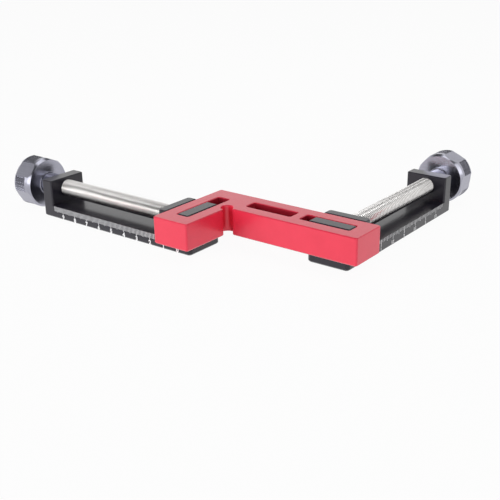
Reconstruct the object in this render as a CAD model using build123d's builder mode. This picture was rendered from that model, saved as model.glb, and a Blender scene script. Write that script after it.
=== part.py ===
from build123d import *
import math
import os

# Corner clamp: a slotted square that carries two identical screw clamps.
# Millimetres. +Z is up, the clamps stand on Z = 0, and the origin lies under the middle of the whole clamp.
# The short arm of the square runs along -Y and its clamp reaches out along -X.
# The long arm runs along +X and its clamp reaches out along +Y.

# The square
long_arm = 103.0
short_arm = 56.0
arm_width = 23.0
square_height = 14.8
slot_width = 8.0
outer_slot_length = 30.0
inner_slot_length = 29.0
short_slot = 35.0
slot_web = 5.5
long_end_wall = 9.0
short_end_wall = 9.8
slot_corner = 1.0
relief_radius = 3.4
relief_inset = 0.6
relief_lip = 1.5
edge_break = 0.4

# The clamp frame, one rigid piece of bar, nib and upright
clamp_width = 25.0
bar_thickness = 7.2
clamp_height = 22.2
nib_width = 24.0
nib_gap = 0.7
nib_inner_gap = 0.3
nib_end_gap = 0.2
nib_corner = 0.8
toe = 1.0
toe_corner = 2.5
throat = 91.0
upright_thickness = 8.0
upright_corner = 1.0
foot_break = 0.8

# The screw, the jaw that it pushes, and what holds them together
screw_height = 15.3
thread_radius = 5.0
fit = 0.05
journal_radius = 3.5
end_chamfer = 0.7
jaw_gap = 0.1
jaw_thickness = 5.5
jaw_corner = 2.0
jaw_foot_gap = 0.2
jaw_pocket_radius = 4.6
jaw_pocket_depth = 3.5
washer_radius = 5.5
washer_thickness = 1.0
head_gap = 0.1
jaw_screw_radius = 2.0
jaw_screw_length = 9.0
jaw_screw_head_radius = 4.0
jaw_screw_head_height = 2.4
jaw_screw_socket = 2.5
jaw_screw_socket_depth = 1.3

# The knob and its set screw
hub_gap = 0.5
hub_radius = 6.5
hub_length = 9.1
groove_radius = 6.1
groove_length = 0.6
ring_radius = 7.0
ring_length = 0.8
knob_radius = 15.1
knob_length = 14.2
knob_bevel_depth = 1.1
knob_bevel_length = 1.8
knob_end_chamfer = 1.0
lobes = 5
first_lobe = 6.2
screw_end_recess = 1.0
set_screw_radius = 2.0
set_screw_length = 8.0
set_screw_socket = 2.0
set_screw_socket_depth = 2.5

# Places along a clamp, measured outward from the outer face of the square
nib_face = (arm_width - slot_width) / 2 + nib_gap
nib_thickness = slot_width - nib_gap - nib_inner_gap
bar_end = nib_face + nib_thickness + toe
upright_back = throat + upright_thickness
jaw_back = jaw_gap + jaw_thickness
journal_tip = jaw_gap + jaw_pocket_depth - head_gap
shoulder = jaw_back + washer_thickness
hub_tip = upright_back + hub_gap
knob_face = hub_tip + hub_length
knob_end = knob_face + knob_length
screw_end = knob_end - screw_end_recess

# The outer corner of the square, placed so that the origin is under the middle of everything
corner_x = (knob_end - long_arm) / 2
corner_y = -(knob_end - short_arm) / 2
short_slot_end = short_arm - short_end_wall
long_slot_end = long_arm - long_end_wall
left_station = short_slot_end - nib_end_gap - nib_width / 2
right_station = long_slot_end - nib_end_gap - nib_width / 2

# Lobes and flats share the turn of the knob equally, and the set screw is in the flat that faces down
lobe_pitch = 360 / lobes
flat_distance = knob_radius * math.cos(math.radians(lobe_pitch / 4))
polygon_radius = flat_distance / math.cos(math.radians(lobe_pitch / 2))
set_screw_turn = first_lobe + 3.5 * lobe_pitch

up = Vector(0, 0, 1)
clamps = {
    "left": (Vector(corner_x, corner_y - left_station, 0), Vector(-1, 0, 0)),
    "right": (Vector(corner_x + right_station, corner_y, 0), Vector(0, 1, 0)),
}

os.makedirs("parts", exist_ok=True)

# Corner square: one slot in the short arm, two in the long arm, and a relief so that work can sit in its corner
with BuildPart() as corner_square:
    with BuildSketch(Plane.XY.offset(bar_thickness)):
        with Locations((corner_x, corner_y)):
            Rectangle(long_arm, arm_width, align=(Align.MIN, Align.MAX))
            Rectangle(arm_width, short_arm, align=(Align.MIN, Align.MAX))
        relief_x = corner_x + arm_width - relief_inset
        relief_y = corner_y - arm_width + relief_inset
        with Locations((relief_x, relief_y)):
            Circle(relief_radius, mode=Mode.SUBTRACT)
        lips = vertices().sort_by_distance((corner_x + arm_width, corner_y - arm_width, 0))[:2]
        fillet(lips, relief_lip)
        with Locations((corner_x + arm_width / 2, corner_y - short_slot_end + short_slot / 2)):
            RectangleRounded(slot_width, short_slot, slot_corner, mode=Mode.SUBTRACT)
        outer_slot = corner_x + long_slot_end - outer_slot_length / 2
        inner_slot = outer_slot - outer_slot_length / 2 - slot_web - inner_slot_length / 2
        with Locations((outer_slot, corner_y - arm_width / 2)):
            RectangleRounded(outer_slot_length, slot_width, slot_corner, mode=Mode.SUBTRACT)
        with Locations((inner_slot, corner_y - arm_width / 2)):
            RectangleRounded(inner_slot_length, slot_width, slot_corner, mode=Mode.SUBTRACT)
    extrude(amount=square_height)
    underside, top = faces().filter_by(Axis.Z).sort_by(Axis.Z)
    chamfer(top.edges() + underside.outer_wire().edges(), edge_break)
corner_square.part.label = "corner_square"
export_step(corner_square.part, "parts/corner_square.step")

# The two clamps are the same, so every piece is drawn once and made at both places.
# The foot of a clamp is on the ground in the middle of its width, under the outer face of the square.
for side, (foot, outward) in clamps.items():
    across = outward.cross(up)
    centre = foot + up * screw_height
    top_view = Plane(origin=foot, x_dir=outward, z_dir=up)
    side_view = Plane(origin=foot, x_dir=outward, z_dir=across)
    end_view = Plane(origin=centre, x_dir=across * -1, z_dir=outward)
    screw_axis = Axis(centre, outward)

    # Clamp frame: the bar lies under the square, the nib stands in a slot and the upright carries the screw
    with BuildPart() as clamp_frame:
        with BuildSketch(top_view):
            with Locations(((upright_back - bar_end) / 2, 0)):
                Rectangle(upright_back + bar_end, clamp_width)
            fillet(vertices().group_by(Axis.X)[0], toe_corner)
            fillet(vertices().group_by(Axis.X)[-1], upright_corner)
        extrude(amount=bar_thickness)
        with BuildSketch(top_view.offset(bar_thickness)):
            with Locations((-nib_face - nib_thickness / 2, 0)):
                RectangleRounded(nib_thickness, nib_width, nib_corner)
            with Locations((throat + upright_thickness / 2, 0)):
                RectangleRounded(upright_thickness, clamp_width, upright_corner)
        extrude(amount=clamp_height - bar_thickness)
        levels = faces().filter_by(Axis.Z).group_by(Axis.Z)
        chamfer(levels[0].edges(), foot_break)
        levels = faces().filter_by(Axis.Z).group_by(Axis.Z)
        chamfer(levels[-1].edges(), edge_break)
        with BuildSketch(end_view.offset(throat)):
            Circle(thread_radius + fit)
        extrude(amount=upright_thickness, mode=Mode.SUBTRACT)
    clamp_frame.part.label = f"{side}_clamp_frame"
    export_step(clamp_frame.part, f"parts/{side}_clamp_frame.step")

    # Clamp screw: a threaded rod with a plain journal for the jaw, tapped at its tip
    with BuildPart() as clamp_screw:
        with BuildSketch(side_view):
            with BuildLine():
                Polyline(
                    (journal_tip, screw_height),
                    (journal_tip, screw_height + journal_radius),
                    (shoulder, screw_height + journal_radius),
                    (shoulder, screw_height + thread_radius - end_chamfer),
                    (shoulder + end_chamfer, screw_height + thread_radius),
                    (screw_end - end_chamfer, screw_height + thread_radius),
                    (screw_end, screw_height + thread_radius - end_chamfer),
                    (screw_end, screw_height),
                    close=True,
                )
            make_face()
        revolve(axis=screw_axis)
        with BuildSketch(end_view.offset(journal_tip)):
            Circle(jaw_screw_radius + fit)
        extrude(amount=jaw_screw_length + head_gap, mode=Mode.SUBTRACT)
    clamp_screw.part.label = f"{side}_clamp_screw"
    export_step(clamp_screw.part, f"parts/{side}_clamp_screw.step")

    # Jaw: a block that slides on the bar, bored for the journal and pocketed for the head of its screw
    with BuildPart() as jaw:
        with BuildSketch(side_view):
            with Locations((jaw_gap, bar_thickness + jaw_foot_gap)):
                jaw_height = clamp_height - bar_thickness - jaw_foot_gap
                Rectangle(jaw_thickness, jaw_height, align=(Align.MIN, Align.MIN))
        extrude(amount=clamp_width / 2, both=True)
        posts = edges().filter_by(Axis.Z).group_by(screw_axis)
        fillet(posts[-1], jaw_corner)
        chamfer(faces().filter_by(Axis.Z).edges(), edge_break)
        with BuildSketch(end_view.offset(jaw_gap)):
            Circle(jaw_pocket_radius)
        extrude(amount=jaw_pocket_depth, mode=Mode.SUBTRACT)
        with BuildSketch(end_view.offset(jaw_gap)):
            Circle(journal_radius + fit)
        extrude(amount=jaw_thickness, mode=Mode.SUBTRACT)
    jaw.part.label = f"{side}_jaw"
    export_step(jaw.part, f"parts/{side}_jaw.step")

    # Thrust washer: takes the push between the shoulder of the screw and the back of the jaw
    with BuildPart() as thrust_washer:
        with BuildSketch(end_view.offset(jaw_back)):
            Circle(washer_radius)
            Circle(journal_radius + fit, mode=Mode.SUBTRACT)
        extrude(amount=washer_thickness)
    thrust_washer.part.label = f"{side}_thrust_washer"
    export_step(thrust_washer.part, f"parts/{side}_thrust_washer.step")

    # Jaw screw: a low-head socket screw in the tip of the clamp screw, which keeps the jaw on its journal
    with BuildPart() as jaw_screw:
        crown = journal_tip - jaw_screw_head_height
        with BuildSketch(side_view):
            with BuildLine():
                Polyline(
                    (crown, screw_height),
                    (crown, screw_height + jaw_screw_head_radius - edge_break),
                    (crown + edge_break, screw_height + jaw_screw_head_radius),
                    (journal_tip, screw_height + jaw_screw_head_radius),
                    (journal_tip, screw_height + jaw_screw_radius),
                    (journal_tip + jaw_screw_length, screw_height + jaw_screw_radius),
                    (journal_tip + jaw_screw_length, screw_height),
                    close=True,
                )
            make_face()
        revolve(axis=screw_axis)
        with BuildSketch(end_view.offset(crown)):
            RegularPolygon(jaw_screw_socket / 2, side_count=6, major_radius=False)
        extrude(amount=jaw_screw_socket_depth, mode=Mode.SUBTRACT)
    jaw_screw.part.label = f"{side}_jaw_screw"
    export_step(jaw_screw.part, f"parts/{side}_jaw_screw.step")

    # Knob: turned with a hub, a groove and a ring, then milled to five flats between five round lobes
    with BuildPart() as knob:
        groove_start = knob_face - ring_length - groove_length
        with BuildSketch(side_view):
            with BuildLine():
                Polyline(
                    (hub_tip, screw_height),
                    (hub_tip, screw_height + hub_radius),
                    (groove_start, screw_height + hub_radius),
                    (groove_start, screw_height + groove_radius),
                    (knob_face - ring_length, screw_height + groove_radius),
                    (knob_face - ring_length, screw_height + ring_radius),
                    (knob_face, screw_height + ring_radius),
                    (knob_face, screw_height + knob_radius - knob_bevel_depth),
                    (knob_face + knob_bevel_length, screw_height + knob_radius),
                    (knob_end - knob_end_chamfer, screw_height + knob_radius),
                    (knob_end, screw_height + knob_radius - knob_end_chamfer),
                    (knob_end, screw_height),
                    close=True,
                )
            make_face()
        revolve(axis=screw_axis)
        corner = Vector(polygon_radius, 0, 0)
        turns = [first_lobe + k * lobe_pitch for k in range(lobes)]
        with BuildSketch(end_view.offset(hub_tip)):
            Polygon(*[corner.rotate(Axis.Z, turn) for turn in turns], align=None)
        extrude(amount=knob_end - hub_tip, mode=Mode.INTERSECT)
        with BuildSketch(end_view.offset(hub_tip)):
            Circle(thread_radius + fit)
        extrude(amount=knob_end - hub_tip, mode=Mode.SUBTRACT)
        turn = math.radians(set_screw_turn)
        radial = up * math.sin(turn) - across * math.cos(turn)
        middle = centre + outward * (knob_face + knob_length / 2)
        set_screw_view = Plane(origin=middle, x_dir=outward, z_dir=radial)
        with BuildSketch(set_screw_view):
            Circle(set_screw_radius + fit)
        extrude(amount=knob_radius, mode=Mode.SUBTRACT)
    knob.part.label = f"{side}_knob"
    export_step(knob.part, f"parts/{side}_knob.step")

    # Knob set screw: a headless socket screw that locks the knob on the rod
    with BuildPart() as knob_set_screw:
        with BuildSketch(set_screw_view.offset(thread_radius + fit)):
            Circle(set_screw_radius)
        extrude(amount=set_screw_length)
        with BuildSketch(set_screw_view.offset(thread_radius + fit + set_screw_length)):
            RegularPolygon(set_screw_socket / 2, side_count=6, major_radius=False)
        extrude(amount=-set_screw_socket_depth, mode=Mode.SUBTRACT)
    knob_set_screw.part.label = f"{side}_knob_set_screw"
    export_step(knob_set_screw.part, f"parts/{side}_knob_set_screw.step")
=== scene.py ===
# %% [markdown]
# # A corner clamp, dressed for its picture
# The clamp is a red slotted square with two black screw clamps that stand in its slots. Its solids come
# ready made from a CAD model, at their real size and place, and they are never moved here. This lesson
# adds what a CAD solid lacks: a real thread on the two rods, a knurled grip on the two knobs, soft
# corners on the square, the scales on the sides of the bars, and a finish for every surface.
#
# Blender works in metres. A workshop works in millimetres, so every length of the clamp is written in
# millimetres and multiplied once, by `mm`. Only the floor and the lamps, which are larger, are given in
# metres.

import math

import bmesh
import bpy
import numpy as np
from mathutils import Matrix, Vector


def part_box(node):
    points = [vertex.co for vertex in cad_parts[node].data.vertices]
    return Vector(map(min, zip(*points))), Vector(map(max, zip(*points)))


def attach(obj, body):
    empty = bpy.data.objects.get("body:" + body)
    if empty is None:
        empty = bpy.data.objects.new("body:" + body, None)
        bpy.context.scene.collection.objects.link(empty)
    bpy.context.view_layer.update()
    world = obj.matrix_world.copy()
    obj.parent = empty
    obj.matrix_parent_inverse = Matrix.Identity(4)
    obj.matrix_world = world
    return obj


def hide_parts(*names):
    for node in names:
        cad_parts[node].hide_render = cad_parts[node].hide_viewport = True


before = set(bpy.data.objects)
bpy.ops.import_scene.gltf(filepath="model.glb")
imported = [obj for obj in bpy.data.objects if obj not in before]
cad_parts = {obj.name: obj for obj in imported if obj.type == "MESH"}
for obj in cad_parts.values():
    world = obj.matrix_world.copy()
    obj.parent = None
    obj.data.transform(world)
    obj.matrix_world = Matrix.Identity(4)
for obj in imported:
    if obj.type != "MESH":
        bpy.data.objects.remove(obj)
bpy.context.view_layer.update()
mm = 0.001

# %% [markdown]
# ## The camera
# The photographer stood in front of the inside corner, a little to the right, and looked down on the
# clamp. A camera that looks at a point on the ground is easy to think about: how far round it stands,
# how high it looks down from, and how far away it is. The small roll says that the camera wasn't quite
# level. A long lens, from half a metre away, keeps the far knob nearly as large as the near corner.

# %% Place the camera
aim = Vector((45.9, -53.9, 0.0)) * mm
camera_distance = 461.2 * mm
camera_azimuth = math.radians(37.79)
camera_elevation = math.radians(21.61)
camera_roll = math.radians(-0.82)
lens_length = 62.17


def add_object(name, data):
    """A new object in the scene, which shows the data at the origin."""
    added = bpy.data.objects.new(name, data)
    bpy.context.scene.collection.objects.link(added)
    return added


towards_camera = Vector((
    math.sin(camera_azimuth) * math.cos(camera_elevation),
    -math.cos(camera_azimuth) * math.cos(camera_elevation),
    math.sin(camera_elevation),
))
level = Vector((math.cos(camera_azimuth), math.sin(camera_azimuth), 0))
roll = Matrix.Rotation(camera_roll, 3, towards_camera)
right_and_up = (roll @ level, roll @ towards_camera.cross(level))
camera = add_object("camera", bpy.data.cameras.new("camera"))
camera.data.lens = lens_length
camera.matrix_world = Matrix.LocRotScale(
    aim + towards_camera * camera_distance,
    Matrix((*right_and_up, towards_camera)).transposed().to_quaternion(),
    None,
)
bpy.context.scene.camera = camera
print("camera at", [round(x / mm) for x in camera.matrix_world.translation], "mm")

# %% [markdown]
# ## Directions of a clamp
# The two clamps are the same, but one points along -X and the other along +Y. To draw each piece once,
# a point of a clamp is written as three lengths: outward along its screw, sideways, and up from the
# ground. All three start at the clamp's foot, which is on the ground under the outer face of the square.
# Outward, sideways and up are right-handed, so nothing comes out mirrored.

# %% Find the feet and the directions
outward = {"left": Vector((-1, 0, 0)), "right": Vector((0, 1, 0))}
up = Vector((0, 0, 1))
square_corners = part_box("corner_square")
feet = {}
directions = {}
for side, along_screw in outward.items():
    screw_low, screw_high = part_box(f"{side}_clamp_screw")
    screw_middle = (screw_low + screw_high) / 2
    outer_face = max(corner.dot(along_screw) for corner in square_corners)
    foot = screw_middle + along_screw * (outer_face - screw_middle.dot(along_screw))
    feet[side] = np.array((foot.x, foot.y, 0))
    directions[side] = np.array([along_screw, up.cross(along_screw), up])


def in_frame(side, points):
    """Points given as outward, sideways and up become points of the frame: foot plus each length times
    its direction."""
    return feet[side] + points @ directions[side]


def in_clamp(side, points):
    """The other way: points of the frame, less the foot, measured along each direction."""
    return (points - feet[side]) @ directions[side].T


def extent(side, part):
    """Lowest and highest outward, sideways and up of a CAD piece, in the directions of its clamp."""
    corners = in_clamp(side, np.array(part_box(f"{side}_{part}")))
    return corners.min(axis=0), corners.max(axis=0)


rod_low, rod_high = extent("left", "clamp_screw")
knob_low, knob_high = extent("left", "knob")
bar_high = extent("left", "clamp_frame")[1]
washer_high = extent("left", "thrust_washer")[1]
axis_height = (rod_low[2] + rod_high[2]) / 2
print("rod from", rod_low[0] / mm, "to", rod_high[0] / mm, "mm, axis at", axis_height / mm, "mm")

# %% [markdown]
# ## Making a piece
# Every piece that is drawn from numbers is made in the same way. Its points and faces go into a mesh,
# faces that meet at less than a small angle are shaded as one surface, and the piece rides on the body
# that carries it. A number can be kept on each point, so that a finish can read it later: how deep a
# groove is, for instance.

# %% Helpers that make a piece
smooth_below = math.radians(14)


def make_piece(name, vertices, faces, body):
    """A mesh object from points and faces, smooth except across sharp corners, riding on its body."""
    mesh = bpy.data.meshes.new(name)
    mesh.from_pydata(vertices.tolist(), [], faces)
    mesh.shade_smooth()
    mesh.set_sharp_from_angle(angle=smooth_below)
    piece = add_object(name, mesh)
    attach(piece, body)
    print(name, "has", len(mesh.polygons), "faces")
    return piece


def store_on_points(piece, name, values):
    """Keeps one number for each point of the piece, for its finish to read."""
    piece.data.attributes.new(name, "FLOAT", "POINT").data.foreach_set("value", values)


def read_vectors(items, name):
    """One vector for each point or face of a mesh, as the rows of an array."""
    flat = np.empty(len(items) * 3)
    items.foreach_get(name, flat)
    return flat.reshape(-1, 3)


def merge_points(mesh, within):
    """Makes one point of those that lie within a small distance of each other, and turns faces outward."""
    shape = bmesh.new()
    shape.from_mesh(mesh)
    bmesh.ops.remove_doubles(shape, verts=shape.verts, dist=within)
    bmesh.ops.recalc_face_normals(shape, faces=shape.faces)
    shape.to_mesh(mesh)
    shape.free()


# %% [markdown]
# ## Turned surfaces
# A rod and a knob are both turned on a lathe, so both are a radius that depends on two numbers: how far
# along the axis, and how far round. That is a grid. Its rows go along the axis, its columns go round,
# and the last column joins the first. The grid ends in one of two ways. A solid rod closes at a point
# on the axis at each end, and a knob with a bore has no end at all: its last row joins its first.

# %% Helpers for turned surfaces
def around_axis(side, along, radius, turn):
    """Points at a distance along the axis and a radius and angle round it. At angle 0 the radius points
    sideways, and at a quarter turn it points up."""
    along, radius, turn = np.broadcast_arrays(along, radius, turn)
    place = [along, radius * np.cos(turn), axis_height + radius * np.sin(turn)]
    return in_frame(side, np.stack(place, axis=-1))


def grid_faces(rows, columns, ring):
    """Faces of a grid whose columns go round: each joins a point, the next one round, and the two in the
    next row. In a ring the last row joins the first."""
    row, column = np.meshgrid(np.arange(rows if ring else rows - 1), np.arange(columns), indexing="ij")
    next_row = (row + 1) % rows
    next_column = (column + 1) % columns
    corners = (
        row * columns + column,
        row * columns + next_column,
        next_row * columns + next_column,
        next_row * columns + column,
    )
    return np.stack(corners, axis=-1).reshape(-1, 4).tolist()


def end_faces(rows, columns):
    """Triangles that close a grid at its two ends, to two points kept after the grid's own."""
    column = np.arange(columns)
    next_column = (column + 1) % columns
    last_row = (rows - 1) * columns
    first_pole = np.full(columns, rows * columns)
    start = np.stack((first_pole, next_column, column), axis=-1)
    finish = np.stack((last_row + column, last_row + next_column, first_pole + 1), axis=-1)
    return start.tolist() + finish.tolist()


def turned_solid(name, side, along, radius, turn, body):
    """A solid whose grid closes on the axis, at the along of its first row and of its last row."""
    rows, columns = radius.shape
    grid = around_axis(side, along[:, None], radius, turn[None, :]).reshape(-1, 3)
    poles = around_axis(side, along[[0, -1]], 0.0, 0.0)
    faces = grid_faces(rows, columns, ring=False) + end_faces(rows, columns)
    return make_piece(name, np.concatenate((grid, poles)), faces, body)


# %% [markdown]
# ## The threaded rods
# The rod is 10 mm thick and has a metric coarse thread, which advances 1.5 mm a turn. A thread can be a
# screw modifier on a small profile, but its two ends are then open. Here it is a radius on a grid
# instead. Walk along the rod and the radius falls and rises once every pitch. Walk once round it and
# the same pattern has moved on by one pitch. Both are said by one number, the phase: along divided by
# the pitch, less the turn. It falls to its root in straight flanks, with a narrow flat on the crest.
# The last turn at each end fades out, and the rod's corner is chamfered. The depth of the groove is kept on
# each point, so that the finish can paint shade there: the colour turns darker down in the groove.

# %% Cut the thread
thread_pitch = 1.5 * mm
thread_depth = 0.92 * mm
crest_share = 0.16
root_share = 0.18
samples_per_pitch = 12
rod_columns = 40
rod_chamfer = 0.7 * mm

rod_radius = (rod_high[2] - rod_low[2]) / 2
rod_end = rod_high[0]
shoulder = washer_high[0]
turn = np.linspace(0, 2 * math.pi, rod_columns, endpoint=False)


def thread_groove(along, turn):
    """How deep the groove is, from 0 to 1. The phase is along over pitch less the turn, the distance
    from the crest is twice the phase less one, made positive, and flats are cut at both of its ends."""
    phase = (along / thread_pitch - turn / (2 * math.pi)) % 1.0
    from_crest = np.abs(2 * phase - 1)
    groove = np.clip((from_crest - crest_share) / (1 - crest_share - root_share), 0, 1)
    to_the_end = np.minimum(along - shoulder, rod_end - along) / thread_pitch
    return groove * np.clip(to_the_end, 0, 1)


thread_rows = round((rod_end - shoulder) / thread_pitch * samples_per_pitch)
thread_along = np.linspace(shoulder, rod_end, thread_rows)[:, None]
groove = thread_groove(thread_along, turn[None, :])
chamfered = rod_radius - rod_chamfer + np.minimum(thread_along - shoulder, rod_end - thread_along)
thread_radius = np.minimum(rod_radius - thread_depth * groove, chamfered)
print("thread has", round((rod_end - shoulder) / thread_pitch, 1), "turns in", thread_rows, "rows")

# %% [markdown]
# In front of its shoulder the rod is a plain journal that turns in the jaw, and its tip is bored for the
# screw that holds the jaw. Those rows come first: from the bottom of the hole out along its wall, across
# the tip, and back along the journal to the shoulder.

# %% Make the threaded rods
journal_radius = 3.5 * mm
tip_hole_radius = 2.05 * mm
tip_hole_depth = 9.1 * mm

rod_tip = rod_low[0]
plain_along = np.array((rod_tip + tip_hole_depth, rod_tip, rod_tip, shoulder))
plain_radius = np.array((tip_hole_radius, tip_hole_radius, journal_radius, journal_radius))
rod_along = np.concatenate((plain_along, thread_along[:, 0]))
rod_radii = np.concatenate((np.tile(plain_radius[:, None], (1, rod_columns)), thread_radius))
rod_groove = np.concatenate((np.zeros(len(plain_along) * rod_columns), groove.ravel(), (0, 0)))

threaded_rods = {}
for side in outward:
    name = f"{side}_threaded_rod"
    rod = turned_solid(name, side, rod_along, rod_radii, turn, f"{side}_screw")
    store_on_points(rod, "groove", rod_groove)
    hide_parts(f"{side}_clamp_screw")
    threaded_rods[side] = rod

# %% [markdown]
# ## The knobs
# A knob starts as a turned blank: a hub with a thin groove and a ring, then a wide disc with a bevel.
# Five flats are milled off the disc, and the five round lobes that are left are knurled so that fingers
# grip them. Seen from the end, a lobe has the radius of the blank, and a flat is a straight line: its
# radius is its distance from the axis divided by the cosine of the angle from its middle. Each point
# takes the smaller of the blank's radius and that plan radius, which is what milling does.
#
# Columns are close together on the lobes, where the knurl is, and far apart on the flats.

# %% Plan of the knob
lobes = 5
first_lobe = math.radians(6.2)
lobe_half = math.pi / lobes / 2
lobe_pitch = 4 * lobe_half
lobe_columns = 48
flat_columns = 28
knob_radius = knob_high[2] - axis_height
flat_distance = knob_radius * math.cos(lobe_half)

on_lobe = np.linspace(-lobe_half, lobe_half, lobe_columns, endpoint=False)
on_flat = np.linspace(lobe_half, lobe_pitch - lobe_half, flat_columns, endpoint=False)
within_pitch = np.concatenate((on_lobe, on_flat))
lobe_centres = first_lobe + np.arange(lobes) * lobe_pitch
knob_turn = (lobe_centres[:, None] + within_pitch[None, :]).ravel()
from_lobe = np.tile(within_pitch, lobes)
plan_radius = np.where(
    from_lobe > lobe_half,
    flat_distance / np.cos(from_lobe - lobe_pitch / 2),
    knob_radius,
)
print("flats are", round(flat_distance / mm, 2), "mm from the axis")

# %% [markdown]
# The blank's profile is a list of points, each so far along the axis and so far from it. It starts at
# the mouth of the bore in the hub and ends at the mouth of the bore in the far face. The bevel and the
# grip have many rows: the flats meet the bevel in a curve, and the knurl is fine.

# %% Profile of the knob
hub_radius = 6.5 * mm
hub_length = 9.1 * mm
hub_break = 0.3 * mm
groove_radius = 6.1 * mm
groove_length = 0.6 * mm
ring_radius = 7.0 * mm
ring_length = 0.8 * mm
ring_break = 0.2 * mm
bevel_depth = 1.1 * mm
bevel_length = 1.8 * mm
bevel_rows = 20
knurl_start = 4.3 * mm
knurl_end = 13.0 * mm
knurl_rows = 72
face_chamfer = 1.0 * mm
bore_radius = 5.05 * mm

hub_tip = knob_low[0]
knob_face = hub_tip + hub_length
knob_end = knob_high[0]
ring_start = knob_face - ring_length
groove_start = ring_start - groove_length
hub_profile = [
    (hub_tip, bore_radius),
    (hub_tip, hub_radius - hub_break),
    (hub_tip + hub_break, hub_radius),
    (groove_start, hub_radius),
    (groove_start, groove_radius),
    (ring_start, groove_radius),
    (ring_start, ring_radius - ring_break),
    (ring_start + ring_break, ring_radius),
    (knob_face, ring_radius),
]
bevel_along = np.linspace(knob_face, knob_face + bevel_length, bevel_rows)
bevel_radius = np.linspace(knob_radius - bevel_depth, knob_radius, bevel_rows)
grip_along = np.linspace(knob_face + knurl_start, knob_face + knurl_end, knurl_rows)
grip_radius = np.full(knurl_rows, knob_radius)
end_profile = [
    (knob_end - face_chamfer, knob_radius),
    (knob_end, knob_radius - face_chamfer),
    (knob_end, bore_radius),
]
profile = np.concatenate((
    hub_profile,
    np.stack((bevel_along, bevel_radius), axis=-1),
    np.stack((grip_along, grip_radius), axis=-1),
    end_profile,
))
print("profile has", len(profile), "points")

# %% [markdown]
# The knurl is a pattern of small pyramids, left between two sets of crossing V grooves. One set leans
# to the left and one to the right, so each depends on the distance round the lobe plus or minus the
# distance along it. A V groove is a triangle wave, and at each point the lower of the two waves counts.

# %% Knurl the lobes
knurl_round = 1.35 * mm
knurl_along = 2.1 * mm
knurl_depth = 0.45 * mm
knurl_fade = 0.3 * mm


def triangle_wave(x):
    """0 at every whole number and 1 half way between them, in straight lines."""
    return 1 - np.abs(2 * (x % 1.0) - 1)


def knurl(along, from_lobe):
    """Share of the knurl's full depth: one minus the lower of two triangle waves that lean opposite
    ways, faded out near the edges of the knurled patch."""
    round_lobe = from_lobe * knob_radius / knurl_round
    down_lobe = (along - knob_face) / knurl_along
    ridges = np.minimum(triangle_wave(round_lobe + down_lobe), triangle_wave(round_lobe - down_lobe))
    from_ends = np.minimum(along - knob_face - knurl_start, knob_face + knurl_end - along)
    from_sides = (lobe_half - np.abs(from_lobe)) * knob_radius
    inside = np.clip(np.minimum(from_ends, from_sides) / knurl_fade, 0, 1)
    return (1 - ridges) * inside


knurl_share = knurl(profile[:, :1], from_lobe[None, :])
knob_radii = np.minimum(profile[:, 1:], plan_radius[None, :]) - knurl_depth * knurl_share
print("knurled points:", int((knurl_share > 0).sum()), "of", knurl_share.size)

# %% [markdown]
# A set screw locks the knob on its rod. It sits in a cross hole in the flat that faces down. The hole is
# drilled as a machinist would: a thin cylinder is taken away from the finished knob. The cut leaves a
# few points on top of each other, and they are merged.

# %% Helpers that drill a cross hole
flat_facing_down = 3
set_screw_turn = first_lobe + flat_facing_down * lobe_pitch + lobe_pitch / 2
cross_hole_radius = 2.05 * mm
cross_hole_sides = 28
drill_depths = np.array((4.0, 15.5)) * mm
merge_within = 0.001 * mm


def cross_drill(side):
    """A closed cylinder from inside the bore to past the flat: the middle of the knob, plus a depth along
    the radius at the set screw's angle, plus the hole's radius round that line."""
    angle = np.linspace(0, 2 * math.pi, cross_hole_sides, endpoint=False)[None, :]
    radial = np.array((0, math.cos(set_screw_turn), math.sin(set_screw_turn)))
    tangent = np.array((0, -math.sin(set_screw_turn), math.cos(set_screw_turn)))
    axis = np.array((1.0, 0, 0))
    middle = np.array(((knob_face + knob_end) / 2, 0, axis_height))
    poles = middle + radial * drill_depths[:, None]
    round_hole = tangent * np.cos(angle)[..., None] + axis * np.sin(angle)[..., None]
    wall = poles[:, None, :] + cross_hole_radius * round_hole
    faces = grid_faces(2, cross_hole_sides, ring=False) + end_faces(2, cross_hole_sides)
    mesh = bpy.data.meshes.new("cross_drill")
    mesh.from_pydata(in_frame(side, np.concatenate((wall.reshape(-1, 3), poles))).tolist(), [], faces)
    return add_object("cross_drill", mesh)


def drilled(piece, drill):
    """Takes the drill away from the piece, keeps the result as the piece's mesh, and removes the drill."""
    cut = piece.modifiers.new("cross hole", "BOOLEAN")
    cut.object = drill
    cut.solver = "EXACT"
    bpy.context.view_layer.update()
    result = bpy.data.meshes.new_from_object(piece.evaluated_get(bpy.context.evaluated_depsgraph_get()))
    piece.modifiers.clear()
    piece.data = result
    merge_points(result, merge_within)
    result.set_sharp_from_angle(angle=smooth_below)
    bpy.data.objects.remove(drill)


print("set screw points", round(math.degrees(set_screw_turn)), "degrees round from sideways")

# %% [markdown]
# The distance of every point from the axis is stored last, because the finish uses it for the fine
# rings that the lathe leaves on a turned face.

# %% Make the knobs and drill them
def store_distance(piece, side):
    """Keeps each point's distance from the clamp's axis, as the attribute `turned`: the root of sideways
    squared plus height above the axis squared."""
    local = in_clamp(side, read_vectors(piece.data.vertices, "co"))
    store_on_points(piece, "turned", np.hypot(local[:, 1], local[:, 2] - axis_height))


knurled_knobs = {}
for side in outward:
    points = around_axis(side, profile[:, :1], knob_radii, knob_turn[None, :]).reshape(-1, 3)
    faces = grid_faces(*knob_radii.shape, ring=True)
    knob = make_piece(f"{side}_knurled_knob", points, faces, f"{side}_screw")
    store_on_points(knob, "knurl", knurl_share.ravel())
    drilled(knob, cross_drill(side))
    store_distance(knob, side)
    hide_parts(f"{side}_knob")
    knurled_knobs[side] = knob

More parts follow.
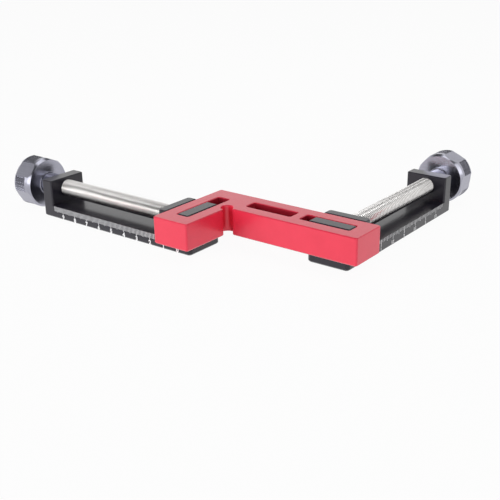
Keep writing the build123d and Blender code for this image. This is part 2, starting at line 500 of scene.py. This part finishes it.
# %% [markdown]
# ## The soft corners of the square
# The square is milled from a bar and blasted, which rounds its upright corners by about a millimetre. A
# dead sharp corner never catches a light, so a copy of the CAD mesh gets round ones. It arrives as loose
# triangles: they are merged, and the flat faces are joined again. The corners are then the only edges
# that aren't level and turn by more than 50 degrees, and a bevel of several steps rolls them over.
#
# Smooth shading would bend the light on the large flat faces next to a round corner. The Weighted Normal
# modifier stops that: at each point, the larger face decides the direction.

# %% Round the corners of the square
corner_round = 0.9 * mm
corner_steps = 8
corner_turn = math.radians(50)
round_profile = 0.5
flat_within = math.radians(1)
sharp_above = math.radians(30)

shape = bmesh.new()
shape.from_mesh(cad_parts["corner_square"].data)
bmesh.ops.remove_doubles(shape, verts=shape.verts, dist=merge_within)
bmesh.ops.dissolve_limit(shape, angle_limit=flat_within, verts=shape.verts, edges=shape.edges)
upright_corners = [
    edge for edge in shape.edges
    if abs(edge.verts[0].co.z - edge.verts[1].co.z) > merge_within and edge.calc_face_angle(0.0) > corner_turn
]
print("edges to round:", len(upright_corners))
bmesh.ops.bevel(
    shape,
    geom=upright_corners,
    offset=corner_round,
    segments=corner_steps,
    profile=round_profile,
    affect="EDGES",
)
square_mesh = bpy.data.meshes.new("rounded_square")
shape.to_mesh(square_mesh)
shape.free()
square_mesh.shade_smooth()
square_mesh.set_sharp_from_angle(angle=sharp_above)
rounded_square = add_object("rounded_square", square_mesh)
even_light = rounded_square.modifiers.new("even light", "WEIGHTED_NORMAL")
even_light.keep_sharp = True
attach(rounded_square, "square")
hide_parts("corner_square")

# %% [markdown]
# The walls of the slots get painted shade: their red is made darker, as a slot looks where little light
# reaches in. The finish needs to know which faces these are. A slot runs along the middle of its arm, so its
# walls are the upright faces whose centres are near a middle line, and well away from the outer faces of the
# square. The share of painted shade is kept on the faces, because a point would also belong to the bright
# chamfer at the mouth of the slot.

# %% Mark the walls of the slots
arm_middle = 11.5 * mm
slot_reach = 4.5 * mm
outer_wall = 5.0 * mm
nearly_upright = 0.1
# How much of the painted shade colour a slot wall takes.
slot_shade_share = 0.75

centres = read_vectors(square_mesh.polygons, "center")
normals = read_vectors(square_mesh.polygons, "normal")
square_low, square_high = np.array(square_corners)
near_middle = (
    (np.abs(centres[:, 0] - square_low[0] - arm_middle) < slot_reach)
    | (np.abs(square_high[1] - arm_middle - centres[:, 1]) < slot_reach)
)
inside = ((centres > square_low + outer_wall) & (centres < square_high - outer_wall))[:, :2].all(axis=1)
slot_walls = near_middle & inside & (np.abs(normals[:, 2]) < nearly_upright)
slot_shade_faces = square_mesh.attributes.new("slot_wall", "FLOAT", "FACE")
slot_shade_faces.data.foreach_set("value", slot_walls * slot_shade_share)
print("faces on slot walls:", int(slot_walls.sum()), "of", len(centres))

# %% [markdown]
# ## The scales on the bars
# One side of each bar carries a centimetre scale and the other an inch scale, both counted outward from
# a place inside the square. The marks are burnt into the black finish, so they have no height to
# speak of. They are made as real thin pieces, a few hundredths of a millimetre proud, because a crisp
# edge is easier to cut in a mesh than in a pattern.
#
# A mark is a box: centre, width, and how far down it hangs from the top edge of the bar. All the boxes
# of a scale are one array.

# %% Helper for the marks
mark_relief = 0.03 * mm
mark_bed = 0.02 * mm
bar_top = 7.2 * mm
bar_side = bar_high[1]
box_corners = np.array([(u, s, z) for u in (0, 1) for s in (0, 1) for z in (0, 1)], float)
box_faces = np.array([(0, 2, 3, 1), (4, 5, 7, 6), (0, 1, 5, 4), (2, 6, 7, 3), (0, 4, 6, 2), (1, 3, 7, 5)])


def tick_marks(places, widths, lengths):
    """Boxes that hang from the top edge of a bar. A corner of a box is its low corner plus 0 or 1 times
    its size, and the eight corners of every box are worked out at once. The faces are listed inside out,
    because the scale is mirrored once when it is put on its bar."""
    places, widths, lengths = np.broadcast_arrays(places, widths, lengths)
    low = np.stack((places - widths / 2, np.full(len(places), -mark_bed), bar_top - lengths), axis=-1)
    size = np.stack((widths, np.full(len(places), mark_bed + mark_relief), lengths - mark_bed), axis=-1)
    corners = low[:, None, :] + size[:, None, :] * box_corners
    faces = box_faces + len(box_corners) * np.arange(len(places))[:, None, None]
    return corners.reshape(-1, 3), faces.reshape(-1, 4).tolist()


# %% [markdown]
# The digits come from Blender's own font, turned into a mesh before they are placed, and scaled by their
# measured height. An offset makes their strokes bolder. It can also make a curve cross itself and leave
# a digit open, so its value and the steps of a curve are ones at which every digit closes.

# %% Helper for the numbers
number_boldness = 0.054
number_smoothness = 8
number_extrude = 0.5
number_merge = 1e-5


def number_mark(text, place, height, middle):
    """A thin solid of a number, centred at a place along the bar and at a height of its middle: each
    point of the letters, less the letters' own centre, times the wanted height over their height."""
    letters = bpy.data.curves.new("number", "FONT")
    letters.body = text
    letters.extrude = number_extrude
    letters.offset = number_boldness
    letters.resolution_u = number_smoothness
    maker = bpy.data.objects.new("number", letters)
    mesh = bpy.data.meshes.new_from_object(maker)
    bpy.data.objects.remove(maker)
    merge_points(mesh, number_merge)
    flat = read_vectors(mesh.vertices, "co")
    low, high = flat.min(axis=0), flat.max(axis=0)
    centred = (flat - (low + high) / 2) * height / (high[1] - low[1])
    through = (flat[:, 2] + number_extrude) / (2 * number_extrude)
    out = through * (mark_relief + mark_bed) - mark_bed
    points = np.stack((place + centred[:, 0], out, middle + centred[:, 1]), axis=-1)
    return points, [list(polygon.vertices) for polygon in mesh.polygons]


# %% [markdown]
# Every tenth millimetre mark is a centimetre and every fifth is a half, so the length of a mark follows
# from its number. The two zeros are written as distances outward from the outer face of the square. They
# are negative, so the first marks lie under the square, and the last ones are next to the upright.

# %% Marks of the centimetre scale
centimetre_zero = -7.4 * mm
centimetre = 10 * mm
centimetre_digits = 10
millimetre_marks = np.arange(0, 98)
millimetre_line = 0.32 * mm
centimetre_length = 3.9 * mm
half_centimetre_length = 3.4 * mm
millimetre_length = 3.0 * mm
centimetre_digit_height = 2.7 * mm
centimetre_digit_middle = 1.75 * mm


def centimetre_scale(face):
    """Millimetre marks at zero plus their number in millimetres, longer at every fifth and tenth, and the
    numbers 0 to 9."""
    lengths = np.select(
        [millimetre_marks % 10 == 0, millimetre_marks % 5 == 0],
        [centimetre_length, half_centimetre_length],
        default=millimetre_length,
    )
    parts = [tick_marks(-face * (centimetre_zero + millimetre_marks * mm), millimetre_line, lengths)]
    for count in range(centimetre_digits):
        place = -face * (centimetre_zero + count * centimetre)
        parts.append(number_mark(str(count), place, centimetre_digit_height, centimetre_digit_middle))
    return parts


print("centimetre scale has", len(millimetre_marks), "marks")

# %% [markdown]
# The inch scale has sixteenths, and its whole inches are full lines with the digit at their foot. The
# halves are numbered too, in smaller figures.

# %% Marks of the inch scale
inch_zero = -8.4 * mm
inch = 25.4 * mm
inch_digits = 4
sixteenth_marks = np.arange(0, 62)
sixteenth_line = 0.45 * mm
inch_line = 0.6 * mm
inch_length = 4.2 * mm
half_inch_length = 3.4 * mm
quarter_inch_length = 2.6 * mm
sixteenth_length = 1.9 * mm
inch_digit_height = 2.2 * mm
inch_digit_middle = 1.6 * mm
half_height = 2.0 * mm
half_middle = 2.1 * mm


def inch_scale(face):
    """Marks at zero plus their number of sixteenths of an inch, longer at quarters, halves and inches,
    and the numbers 0 to 3 with a half after each."""
    lengths = np.select(
        [sixteenth_marks % 16 == 0, sixteenth_marks % 8 == 0, sixteenth_marks % 4 == 0],
        [inch_length, half_inch_length, quarter_inch_length],
        default=sixteenth_length,
    )
    widths = np.where(sixteenth_marks % 16 == 0, inch_line, sixteenth_line)
    parts = [tick_marks(-face * (inch_zero + sixteenth_marks / 16 * inch), widths, lengths)]
    for count in range(inch_digits):
        whole = -face * (inch_zero + count * inch)
        half = -face * (inch_zero + (count + 0.5) * inch)
        parts.append(number_mark(str(count), whole, inch_digit_height, inch_digit_middle))
        parts.append(number_mark("1/2", half, half_height, half_middle))
    return parts


print("inch scale has", len(sixteenth_marks), "marks")

# %% [markdown]
# Read from outside, a scale on the side that sideways points to runs inward, and on the other side it
# runs outward. So the marks are first measured along the line of reading, and only turned into outward
# lengths here, where marks and numbers are joined into one piece.

# %% Engrave the scales
def scale_piece(name, side, face, parts):
    """Joins marks and numbers into one piece on one side of a bar. face is 1 on the side that sideways
    points to, and -1 on the other. Outward is the line of reading times minus face, and sideways is the
    bar's side plus how far a mark stands out, times face."""
    points = []
    faces = []
    for part_points, part_faces in parts:
        start = sum(len(p) for p in points)
        faces += [[start + corner for corner in polygon] for polygon in part_faces]
        points.append(part_points)
    local = np.concatenate(points)
    local = np.stack((-face * local[:, 0], face * (bar_side + local[:, 1]), local[:, 2]), axis=-1)
    return make_piece(name, in_frame(side, local), faces, f"{side}_frame")


scales = []
for side in outward:
    scales.append(scale_piece(f"{side}_centimetre_scale", side, 1, centimetre_scale(1)))
    scales.append(scale_piece(f"{side}_inch_scale", side, -1, inch_scale(-1)))

# %% [markdown]
# ## Finishes
# Every finish starts from Blender's Principled shader, and gets its life from noise: real anodising
# varies a little in colour and in gloss, and blasted metal has a fine grain. The noise reads Object
# coordinates, which are metres here, so a scale of 2000 makes grains of half a millimetre.
#
# Noise is seldom near 0 or 1. A colour ramp stretches its middle, so that both ends are reached.

# %% Helpers for finishes
noise_middle = (0.32, 0.68)
noise_roughness = 0.55
grain_height = 0.02 * mm


def start_finish(name, **sockets):
    """A material with one Principled shader. Names of sockets are given with underscores for spaces."""
    material = bpy.data.materials.new(name)
    material.use_nodes = True
    shader = material.node_tree.nodes["Principled BSDF"]
    for socket, value in sockets.items():
        shader.inputs[socket.replace("_", " ")].default_value = value
    return material, shader


def noise_between(tree, scale, low, high, detail=3.0):
    """Noise on Object coordinates, spread between two values or two colours."""
    place = tree.nodes.new("ShaderNodeTexCoord")
    noise = tree.nodes.new("ShaderNodeTexNoise")
    ramp = tree.nodes.new("ShaderNodeValToRGB")
    noise.inputs["Scale"].default_value = scale
    noise.inputs["Detail"].default_value = detail
    noise.inputs["Roughness"].default_value = noise_roughness
    for stop, position, value in zip(ramp.color_ramp.elements, noise_middle, (low, high)):
        stop.position = position
        stop.color = value if isinstance(value, tuple) else (value, value, value, 1)
    tree.links.new(place.outputs["Object"], noise.inputs["Vector"])
    tree.links.new(noise.outputs["Fac"], ramp.inputs["Fac"])
    return ramp.outputs["Color"]


def vary(shader, socket, scale, low, high):
    """Lets a socket of the shader vary with noise between two values or two colours."""
    tree = shader.id_data
    tree.links.new(noise_between(tree, scale, low, high), shader.inputs[socket])


def vary_and_deepen(shader, scale, low, high, attribute_name, deep):
    """Lets the base colour vary with noise, and blends it with a darker colour, painted shade, by the share
    that the mesh keeps: none of it at 0, and nothing else at 1."""
    tree = shader.id_data
    stored = tree.nodes.new("ShaderNodeAttribute")
    stored.attribute_name = attribute_name
    blend = tree.nodes.new("ShaderNodeMix")
    blend.data_type = "RGBA"
    blend.inputs["B"].default_value = deep
    tree.links.new(stored.outputs["Fac"], blend.inputs["Factor"])
    tree.links.new(noise_between(tree, scale, low, high), blend.inputs["A"])
    tree.links.new(blend.outputs["Result"], shader.inputs["Base Color"])


def add_bump(shader, height, strength, distance):
    """Turns a height into small changes of the surface's direction."""
    tree = shader.id_data
    bump = tree.nodes.new("ShaderNodeBump")
    bump.inputs["Strength"].default_value = strength
    bump.inputs["Distance"].default_value = distance
    tree.links.new(height, bump.inputs["Height"])
    tree.links.new(bump.outputs["Normal"], shader.inputs["Normal"])


def add_grain(shader, scale, strength):
    """A bump of plain noise, as blasting leaves."""
    add_bump(shader, noise_between(shader.id_data, scale, 0.0, 1.0, detail=1), strength, grain_height)


# %% [markdown]
# ** Red anodising.** Dye sits in a clear oxide skin on bright aluminium. So the surface is part metal, with a deep red that its reflections keep, under a thin clear gloss that adds a little white. Blasting before the dye makes it satin. On the walls of the slots, which were marked above, the red is darkened as painted shade.

# %% Red anodised aluminium
red, shader = start_finish("red_anodised", Metallic=0.2, Coat_Weight=0.5, Coat_Roughness=0.22)
light_red = (0.85, 0.028, 0.073, 1)
lighter_red = (0.89, 0.033, 0.081, 1)
# The dark slot colour is painted shade for the walls of the slots, not a colour of the dye.
slot_shade_red = (0.26, 0.004, 0.014, 1)
vary_and_deepen(shader, scale=90, low=light_red, high=lighter_red, attribute_name="slot_wall", deep=slot_shade_red)
vary(shader, "Roughness", scale=700, low=0.32, high=0.37)
add_grain(shader, scale=5000, strength=0.08)
print("finish:", red.name)

# %% [markdown]
# **Black anodising.** The clamp frames and the jaws are the same metal with a black dye. Nearly all
# that is seen of them is the reflection of the room in the clear skin, so they look grey where they
# face a light and black where they face each other.

# %% Black anodised aluminium
black, shader = start_finish(
    "black_anodised",
    Metallic=0.0,
    IOR=1.4,
    Coat_Weight=0.5,
    Coat_Roughness=0.15,
    Coat_IOR=1.4,
)
vary(shader, "Base Color", scale=120, low=(0.012, 0.010, 0.018, 1), high=(0.015, 0.013, 0.022, 1))
vary(shader, "Roughness", scale=900, low=0.32, high=0.37)
add_grain(shader, scale=4500, strength=0.08)
print("finish:", black.name)

# %% [markdown]
# ** Bright steel.** The rods are nickel-plated and shine. Down in the thread, the groove that was stored on the points turns the colour dark: painted shade.

# %% Bright steel of the rods
bright, shader = start_finish("bright_steel", Metallic=1.0)
nickel = (0.82, 0.80, 0.79, 1)
pale_nickel = (0.88, 0.87, 0.86, 1)
# The dark groove colour is painted shade down in the thread.
groove_shade_steel = (0.19, 0.18, 0.17, 1)
vary_and_deepen(shader, scale=400, low=nickel, high=pale_nickel, attribute_name="groove", deep=groove_shade_steel)
vary(shader, "Roughness", scale=1200, low=0.18, high=0.26)
print("finish:", bright.name)

# %% [markdown]
# ** Grey anodising.** The knobs are dyed a cool grey and left brighter than the rest. The grooves of the knurl, whose depth was stored on the points, are coloured dark as painted shade. Fine rings run round everything that was turned. They come from a wave on the stored distance from the axis: the sine of that distance times a full turn over the spacing of the rings.

# %% Grey anodised knobs
ring_spacing = 0.3 * mm
ring_height = 0.01 * mm
grey, shader = start_finish("grey_anodised", Metallic=1.0)
cool_grey = (0.36, 0.36, 0.42, 1)
pale_grey = (0.385, 0.385, 0.45, 1)
# The dark knurl colour is painted shade in the grooves of the knurl.
knurl_shade_grey = (0.07, 0.07, 0.09, 1)
vary_and_deepen(shader, scale=250, low=cool_grey, high=pale_grey, attribute_name="knurl", deep=knurl_shade_grey)
vary(shader, "Roughness", scale=1000, low=0.2, high=0.26)
tree = grey.node_tree
turned = tree.nodes.new("ShaderNodeAttribute")
turned.attribute_name = "turned"
rings = tree.nodes.new("ShaderNodeMath")
rings.operation = "MULTIPLY"
rings.inputs[1].default_value = 2 * math.pi / ring_spacing
wave = tree.nodes.new("ShaderNodeMath")
wave.operation = "SINE"
tree.links.new(turned.outputs["Fac"], rings.inputs[0])
tree.links.new(rings.outputs["Value"], wave.inputs[0])
add_bump(shader, wave.outputs["Value"], strength=0.25, distance=ring_height)
print("finish:", grey.name)

# %% [markdown]
# **Small steel parts and the marks.** The washers are bright steel without a thread, the small screws
# are blackened steel, and the marks are a chalky white where the laser has taken the dye away.

# %% Washers, screws and marks
washer, shader = start_finish("washer_steel", Metallic=1.0)
vary(shader, "Base Color", scale=500, low=(0.68, 0.67, 0.66, 1), high=(0.80, 0.79, 0.78, 1))
vary(shader, "Roughness", scale=1500, low=0.2, high=0.34)

dark, shader = start_finish("dark_steel", Metallic=0.9)
vary(shader, "Base Color", scale=800, low=(0.045, 0.045, 0.048, 1), high=(0.075, 0.075, 0.08, 1))
vary(shader, "Roughness", scale=1500, low=0.32, high=0.46)
add_grain(shader, scale=4000, strength=0.1)

white, shader = start_finish("scale_white", Roughness=0.6)
vary(shader, "Base Color", scale=1500, low=(0.84, 0.84, 0.86, 1), high=(0.93, 0.93, 0.94, 1))
print("finishes:", [finish.name for finish in (washer, dark, white)])

# %% [markdown]
# A CAD piece arrives with one plain material in its first slot. Assigning to the slot changes the
# finish and leaves the mesh alone. A piece that was made here has no slot yet, so its finish is added
# to its mesh.

# %% Dress every piece
finish_of_part = {
    "clamp_frame": black,
    "jaw": black,
    "thrust_washer": washer,
    "jaw_screw": dark,
    "knob_set_screw": dark,
}
rounded_square.data.materials.append(red)
for side in outward:
    for part, finish in finish_of_part.items():
        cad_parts[f"{side}_{part}"].material_slots[0].material = finish
    threaded_rods[side].data.materials.append(bright)
    knurled_knobs[side].data.materials.append(grey)
for marks in scales:
    marks.data.materials.append(white)
print("dressed pieces:", 1 + len(outward) * (len(finish_of_part) + 2) + len(scales))

# %% [markdown]
# ## The floor
# The photograph is on pure white. The floor is a white sheet that takes the clamp's soft shadow, and
# what the camera or a reflection sees of it is lifted towards white with Light Path, which leaves the
# light that falls on the clamp alone.

# %% Make the floor
floor_size = 3.0
floor_drop = 0.1 * mm
floor_lift = 0.95
paper_white = (0.92, 0.92, 0.92, 1)


def seen_ray(tree, share):
    """The share where a ray comes from the camera, a reflection or a refraction, and 0 for light: the
    largest of the three, times the share."""
    path = tree.nodes.new("ShaderNodeLightPath")
    result = path.outputs["Is Camera Ray"]
    for ray in ("Is Glossy Ray", "Is Transmission Ray"):
        larger = tree.nodes.new("ShaderNodeMath")
        larger.operation = "MAXIMUM"
        tree.links.new(result, larger.inputs[0])
        tree.links.new(path.outputs[ray], larger.inputs[1])
        result = larger.outputs["Value"]
    scaled = tree.nodes.new("ShaderNodeMath")
    scaled.operation = "MULTIPLY"
    scaled.inputs[1].default_value = share
    tree.links.new(result, scaled.inputs[0])
    return scaled.outputs["Value"]


def lit_or_seen(tree, share, lit, seen, end):
    """Sends one shader to the end node for the rays that light the scene, and mixes in the share of the
    other for the rays that are seen."""
    mix = tree.nodes.new("ShaderNodeMixShader")
    tree.links.new(seen_ray(tree, share), mix.inputs["Fac"])
    tree.links.new(lit, mix.inputs[1])
    tree.links.new(seen, mix.inputs[2])
    tree.links.new(mix.outputs["Shader"], tree.nodes[end].inputs["Surface"])


paper = bpy.data.materials.new("white_paper")
paper.use_nodes = True
tree = paper.node_tree
tree.nodes.remove(tree.nodes["Principled BSDF"])
matt = tree.nodes.new("ShaderNodeBsdfDiffuse")
matt.inputs["Color"].default_value = paper_white
glow = tree.nodes.new("ShaderNodeEmission")
lit_or_seen(tree, floor_lift, matt.outputs["BSDF"], glow.outputs["Emission"], "Material Output")

floor_mesh = bpy.data.meshes.new("floor")
floor_corners = np.array([(-1, -1), (1, -1), (1, 1), (-1, 1)]) * floor_size
floor_points = np.column_stack((floor_corners, np.full(4, -floor_drop)))
floor_mesh.from_pydata(floor_points.tolist(), [], [(0, 1, 2, 3)])
floor_mesh.materials.append(paper)
floor = add_object("floor", floor_mesh)
print("floor is", 2 * floor_size, "m wide")

# %% [markdown]
# ## The light
# The world is a room with white walls and a dark ceiling. The height of a direction decides between
# them, so a flat face that mirrors the ceiling turns dark and its edge, which mirrors a wall, stays
# bright. That is what gives bare metal its contrast. As a light the world is softer than it looks.

# %% Paint the room
world_light = 0.6
room_seen = 1.0
wall_light = 1.0
ceiling_light = 0.12
wall_top = math.sin(math.radians(27))
ceiling_edge = math.sin(math.radians(42))

world = bpy.data.worlds.new("studio")
world.use_nodes = True
bpy.context.scene.world = world
tree = world.node_tree
soft = tree.nodes["Background"]
soft.inputs["Strength"].default_value = world_light
backdrop = tree.nodes.new("ShaderNodeBackground")
direction = tree.nodes.new("ShaderNodeTexCoord")
height = tree.nodes.new("ShaderNodeSeparateXYZ")
sky = tree.nodes.new("ShaderNodeMapRange")
sky.interpolation_type = "SMOOTHSTEP"
sky.inputs["From Min"].default_value = wall_top
sky.inputs["From Max"].default_value = ceiling_edge
sky.inputs["To Min"].default_value = wall_light
sky.inputs["To Max"].default_value = ceiling_light
tree.links.new(direction.outputs["Generated"], height.inputs["Vector"])
tree.links.new(height.outputs["Z"], sky.inputs["Value"])
tree.links.new(sky.outputs["Result"], soft.inputs["Color"])
tree.links.new(sky.outputs["Result"], backdrop.inputs["Color"])
lit_or_seen(tree, room_seen, soft.outputs["Background"], backdrop.outputs["Background"], "World Output")
print("room: walls at", wall_light, "and ceiling at", ceiling_light, "with light at", world_light)

# %% [markdown]
# Three lamps work together. A large one in front makes the faces that look at it the brightest, a
# window in the ceiling puts a highlight on whatever points up, and a narrow one on the right opens up
# the other side. Each looks at the middle of the floor.

# %% Hang the lamps
lamps = {
    "key": {"place": (-0.45, -1.3, 0.3), "wide": 1.5, "tall": 0.9, "watts": 15.0},
    "overhead": {"place": (0.02, 0.2, 1.0), "wide": 0.54, "tall": 0.7, "watts": 2.0},
    "right": {"place": (0.93, 0.1, 0.6), "wide": 0.4, "tall": 0.8, "watts": 1.7},
}
for name, lamp in lamps.items():
    light = bpy.data.lights.new(name, "AREA")
    light.shape = "RECTANGLE"
    light.size = lamp["wide"]
    light.size_y = lamp["tall"]
    light.energy = lamp["watts"]
    holder = add_object(name, light)
    holder.location = lamp["place"]
    holder.rotation_mode = "QUATERNION"
    holder.rotation_quaternion = Vector(lamp["place"]).to_track_quat("Z", "Y")
bpy.context.scene.view_settings.view_transform = "Standard"
print("lamps:", list(lamps))
